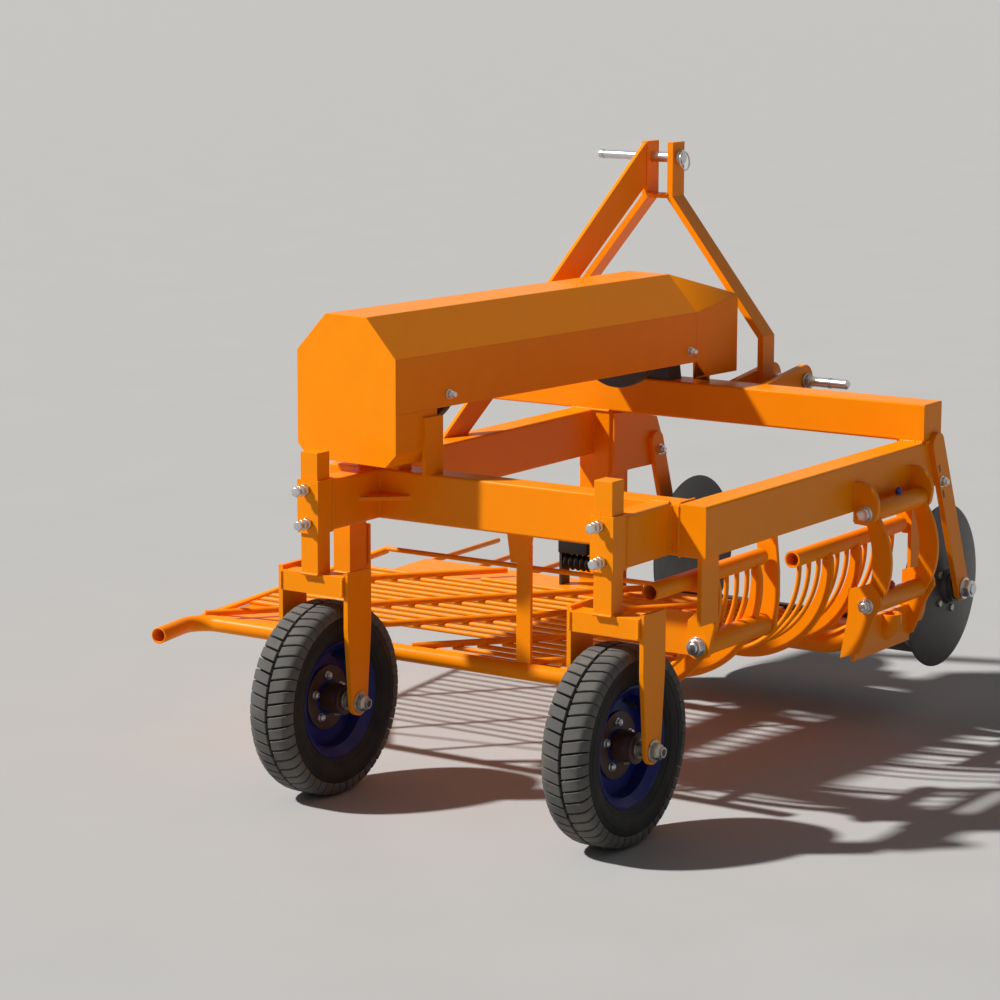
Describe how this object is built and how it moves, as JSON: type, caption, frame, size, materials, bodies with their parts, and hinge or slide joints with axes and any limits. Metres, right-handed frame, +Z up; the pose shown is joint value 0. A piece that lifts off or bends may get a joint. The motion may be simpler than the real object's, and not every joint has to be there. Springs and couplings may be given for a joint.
{
  "type": "potato digger",
  "caption": "Tractor-mounted vibrating potato digger: box frame on depth wheels, shaking rod grate, share, disc coulters and a guarded crank drive.",
  "frame": {"origin": "centre of the box round the machine, on the ground", "axes": "+X to the machine's right, +Y forward to the tractor, +Z up"},
  "size_m": [1.4516, 1.6785, 1.212],
  "materials": {
    "orange_paint": "gloss",
    "blue_paint": "gloss",
    "black_paint": "satin",
    "cast_iron": "matte",
    "steel": "satin",
    "zinc": "satin",
    "tyre": "matte"
  },
  "bodies": {
    "wheel_right": {"wheel_rim_right": "blue_paint", "tyre_right": "tyre"},
    "wheel_left": {"wheel_rim_left": "blue_paint", "tyre_left": "tyre"},
    "fork_right": {"wheel_fork_right": "orange_paint", "wheel_axle_right": "zinc"},
    "fork_left": {"wheel_fork_left": "orange_paint", "wheel_axle_left": "zinc"},
    "coulter_right": {"disc_right": "black_paint"},
    "coulter_left": {"disc_left": "black_paint"},
    "drive_line": {"drive_shaft": "steel", "crank_disc_rear": "black_paint", "crank_disc_front": "black_paint"},
    "rocker": {"rocker": "orange_paint"},
    "shaking_grate": {"grate_apron": "orange_paint", "grate_end_sheet": "orange_paint", "grate_front_bracket": "orange_paint", "grate_front_tube": "orange_paint", "grate_pivot_tube": "orange_paint", "grate_rear_tube": "orange_paint", "grate_rib_fore": "orange_paint", "grate_rib_front": "orange_paint", "grate_rib_middle": "orange_paint", "grate_rib_rear": "orange_paint", "grate_rods": "orange_paint", "grate_strap_left": "orange_paint", "grate_strap_middle": "orange_paint", "grate_top_bar": "orange_paint", "rocker_lower_bolt": "zinc"},
    "frame": {"disc_arm_left": "orange_paint", "disc_arm_right": "orange_paint", "disc_axle_left": "zinc", "disc_axle_right": "zinc", "front_beam": "orange_paint", "front_leg": "orange_paint", "grate_hanger_front": "orange_paint", "grate_hanger_rear": "orange_paint", "grate_pivot_pin": "steel", "guard_cover": "orange_paint", "guard_mouth": "orange_paint", "guard_rear_box": "orange_paint", "hitch_bracket_left": "orange_paint", "hitch_bracket_right": "orange_paint", "hitch_pin_left": "zinc", "hitch_pin_right": "zinc", "left_side_beam": "orange_paint", "mast": "orange_paint", "mast_brace": "orange_paint", "rear_beam": "orange_paint", "right_side_beam": "orange_paint", "rocker_bolt": "zinc", "shaft_bearing_front": "cast_iron", "shaft_bearing_rear": "orange_paint", "share": "black_paint", "share_carrier": "orange_paint", "share_leg": "orange_paint", "top_link_pin": "zinc", "wheel_arm_left": "orange_paint", "wheel_arm_right": "orange_paint"}
  },
  "joints": [
    {"name": "post_right_height", "type": "slide", "parent": "frame", "child": "fork_right", "axis": [0, 0, 1], "range_m": [-0.05, 0.05]},
    {"name": "post_left_height", "type": "slide", "parent": "frame", "child": "fork_left", "axis": [0, 0, 1], "range_m": [-0.05, 0.05]},
    {"name": "wheel_right_spin", "type": "hinge", "parent": "fork_right", "child": "wheel_right", "pos_m": [0.54912, -0.64675, 0.1925], "axis": [1, 0, 0], "continuous": true},
    {"name": "wheel_left_spin", "type": "hinge", "parent": "fork_left", "child": "wheel_left", "pos_m": [-0.12188, -0.64675, 0.1925], "axis": [1, 0, 0], "continuous": true},
    {"name": "disc_right_spin", "type": "hinge", "parent": "frame", "child": "coulter_right", "pos_m": [0.61612, 0.58525, 0.292], "axis": [1, 0, 0], "continuous": true},
    {"name": "disc_left_spin", "type": "hinge", "parent": "frame", "child": "coulter_left", "pos_m": [-0.06188, 0.66325, 0.278], "axis": [1, 0, 0], "continuous": true},
    {"name": "drive_spin", "type": "hinge", "parent": "frame", "child": "drive_line", "pos_m": [-0.06795, -0.08405, 0.812], "axis": [0.0958, 0.9954, 0], "continuous": true},
    {"name": "grate_shake", "type": "hinge", "parent": "frame", "child": "shaking_grate", "pos_m": [0.59312, -0.29675, 0.343], "axis": [0, 1, 0], "range_deg": [-1.2, 1.2]},
    {"name": "rocker_swing", "type": "hinge", "parent": "frame", "child": "rocker", "pos_m": [0.67612, 0.22325, 0.529], "axis": [0, 1, 0], "range_deg": [-1.5, 1.5]}
  ]
}
